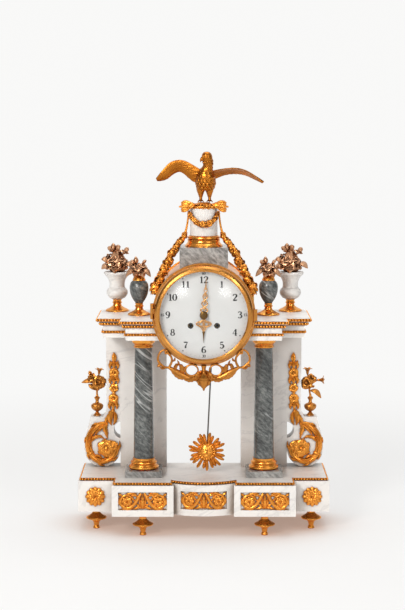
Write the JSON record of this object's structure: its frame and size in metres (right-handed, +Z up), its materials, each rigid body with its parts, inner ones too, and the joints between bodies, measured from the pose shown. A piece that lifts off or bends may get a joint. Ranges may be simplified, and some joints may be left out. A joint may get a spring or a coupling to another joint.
{
  "type": "portico clock",
  "caption": "Portico mantel clock in white and grey marble with gilt mounts, a drum movement between columns, an eagle on top and a sunburst pendulum",
  "frame": {"origin": "on the table under the middle of the clock, at the centre of the box around it", "axes": "+X to the right seen from the dial side, +Y to the back, +Z up"},
  "size_m": [0.397, 0.1996, 0.597],
  "materials": {
    "white_marble": "polished white marble with faint grey clouds",
    "grey_marble": "polished blue-grey marble with pale veins",
    "ormolu": "fire-gilt bronze, burnished on the high parts and matt in the hollows",
    "bronze": "worn gilt bronze with dark patina",
    "brass": "grained clock brass",
    "steel": "polished and blued steel",
    "iron": "plain wrought iron",
    "bell_metal": "silvered bell metal",
    "enamel": "white fired enamel, glossy",
    "glass": "clear domed glass"
  },
  "bodies": {
    "case": {"base_block": "white_marble", "base_top": "white_marble", "base_beading": "ormolu", "base_friezes": "ormolu", "base_rosettes": "ormolu", "toupie_feet": "ormolu", "column_plinths": "grey_marble", "column_bases": "ormolu", "columns": "grey_marble", "column_capitals": "ormolu", "pilasters": "white_marble", "consoles": "white_marble", "console_mounts": "ormolu", "console_urns": "ormolu", "entablatures": "white_marble", "entablature_beading": "ormolu", "campana_urns": "white_marble", "ovoid_urns": "grey_marble", "urn_feet": "ormolu", "campana_bouquets": "bronze", "ovoid_bouquets": "bronze", "tie_rods": "iron", "drum_case": "ormolu", "front_ring": "ormolu", "rear_ring": "ormolu", "crest_block": "grey_marble", "crest_ring": "ormolu", "crest_drum": "white_marble", "crest_swag": "ormolu", "garlands": "ormolu", "eagle_perch": "ormolu", "eagle": "ormolu", "lower_mount": "ormolu", "hinge_pins": "steel", "dial": "enamel", "front_plate": "brass", "back_plate": "brass", "plate_pillars": "brass", "back_cock": "brass", "bell": "bell_metal"},
    "bezel_door": {"bezel": "ormolu", "bezel_glass": "glass"},
    "back_door": {"rear_door": "brass"},
    "centre_arbor": {"centre_wheel": "brass", "minute_hand": "ormolu"},
    "hour_pipe": {"hour_wheel": "brass", "hour_hand": "ormolu"},
    "minute_wheel_body": {"minute_wheel": "brass"},
    "going_barrel_body": {"going_barrel": "brass"},
    "going_arbor_body": {"going_arbor": "steel"},
    "going_wheel_body": {"going_wheel": "brass"},
    "third_wheel_body": {"third_wheel": "brass"},
    "escape_wheel_body": {"escape_wheel": "brass"},
    "strike_barrel_body": {"strike_barrel": "brass"},
    "strike_arbor_body": {"strike_arbor": "steel"},
    "pin_wheel_body": {"pin_wheel": "brass"},
    "hammer_body": {"hammer": "steel"},
    "pendulum": {"pallets": "steel", "pendulum_rod": "steel", "pendulum_bob": "ormolu"}
  },
  "joints": [
    {"name": "bezel_hinge", "type": "hinge", "parent": "case", "child": "bezel_door", "pos_m": [-0.0797, -0.086, 0.356], "axis": [0, 0, -1], "range_deg": [0, 95]},
    {"name": "rear_door_hinge", "type": "hinge", "parent": "case", "child": "back_door", "pos_m": [0.0797, 0.083, 0.356], "axis": [0, 0, -1], "range_deg": [0, 110]},
    {"name": "minute_turn", "type": "hinge", "parent": "case", "child": "centre_arbor", "pos_m": [0, -0.06, 0.35], "axis": [0, 1, 0], "continuous": true},
    {"name": "hour_turn", "type": "hinge", "parent": "case", "child": "hour_pipe", "pos_m": [0, -0.08, 0.35], "axis": [0, 1, 0], "continuous": true},
    {"name": "minute_wheel_turn", "type": "hinge", "parent": "case", "child": "minute_wheel_body", "pos_m": [0, -0.075, 0.362], "axis": [0, 1, 0], "continuous": true},
    {"name": "going_barrel_turn", "type": "hinge", "parent": "case", "child": "going_barrel_body", "pos_m": [-0.0204, -0.058, 0.333], "axis": [0, 1, 0], "continuous": true},
    {"name": "going_wheel_turn", "type": "hinge", "parent": "case", "child": "going_wheel_body", "pos_m": [-0.02061, -0.05, 0.354], "axis": [0, 1, 0], "continuous": true},
    {"name": "third_wheel_turn", "type": "hinge", "parent": "case", "child": "third_wheel_body", "pos_m": [0.00056, -0.05, 0.36749], "axis": [0, 1, 0], "continuous": true},
    {"name": "escape_turn", "type": "hinge", "parent": "case", "child": "escape_wheel_body", "pos_m": [0.018, -0.05, 0.369], "axis": [0, 1, 0], "continuous": true},
    {"name": "going_wind", "type": "hinge", "parent": "case", "child": "going_arbor_body", "pos_m": [-0.0204, -0.06, 0.333], "axis": [0, 1, 0], "range_deg": [0, 1800]},
    {"name": "strike_barrel_turn", "type": "hinge", "parent": "case", "child": "strike_barrel_body", "pos_m": [0.0204, -0.05, 0.333], "axis": [0, 1, 0], "continuous": true},
    {"name": "pin_wheel_turn", "type": "hinge", "parent": "case", "child": "pin_wheel_body", "pos_m": [0.02061, -0.05, 0.354], "axis": [0, 1, 0], "continuous": true},
    {"name": "strike_wind", "type": "hinge", "parent": "case", "child": "strike_arbor_body", "pos_m": [0.0204, -0.06, 0.333], "axis": [0, 1, 0], "range_deg": [0, 1800]},
    {"name": "hammer_swing", "type": "hinge", "parent": "case", "child": "hammer_body", "pos_m": [-0.033, 0.016, 0.323], "axis": [0, 1, 0], "range_deg": [-15, 0], "stiffness_Nm_per_rad": 0.01, "springref_deg": 5.73},
    {"name": "pendulum_swing", "type": "hinge", "parent": "case", "child": "pendulum", "pos_m": [0.018, 0, 0.385], "axis": [0, 1, 0], "range_deg": [-6.8, 1.2]}
  ],
  "couplings": [
    {"joint": "hour_turn", "follows": "minute_turn", "ratio": 0.083333},
    {"joint": "minute_wheel_turn", "follows": "minute_turn", "ratio": -0.33333},
    {"joint": "going_wheel_turn", "follows": "minute_turn", "ratio": -0.16667},
    {"joint": "going_barrel_turn", "follows": "minute_turn", "ratio": 0.027778},
    {"joint": "third_wheel_turn", "follows": "minute_turn", "ratio": -6},
    {"joint": "escape_turn", "follows": "minute_turn", "ratio": 36},
    {"joint": "pin_wheel_turn", "follows": "strike_barrel_turn", "ratio": -6}
  ]
}
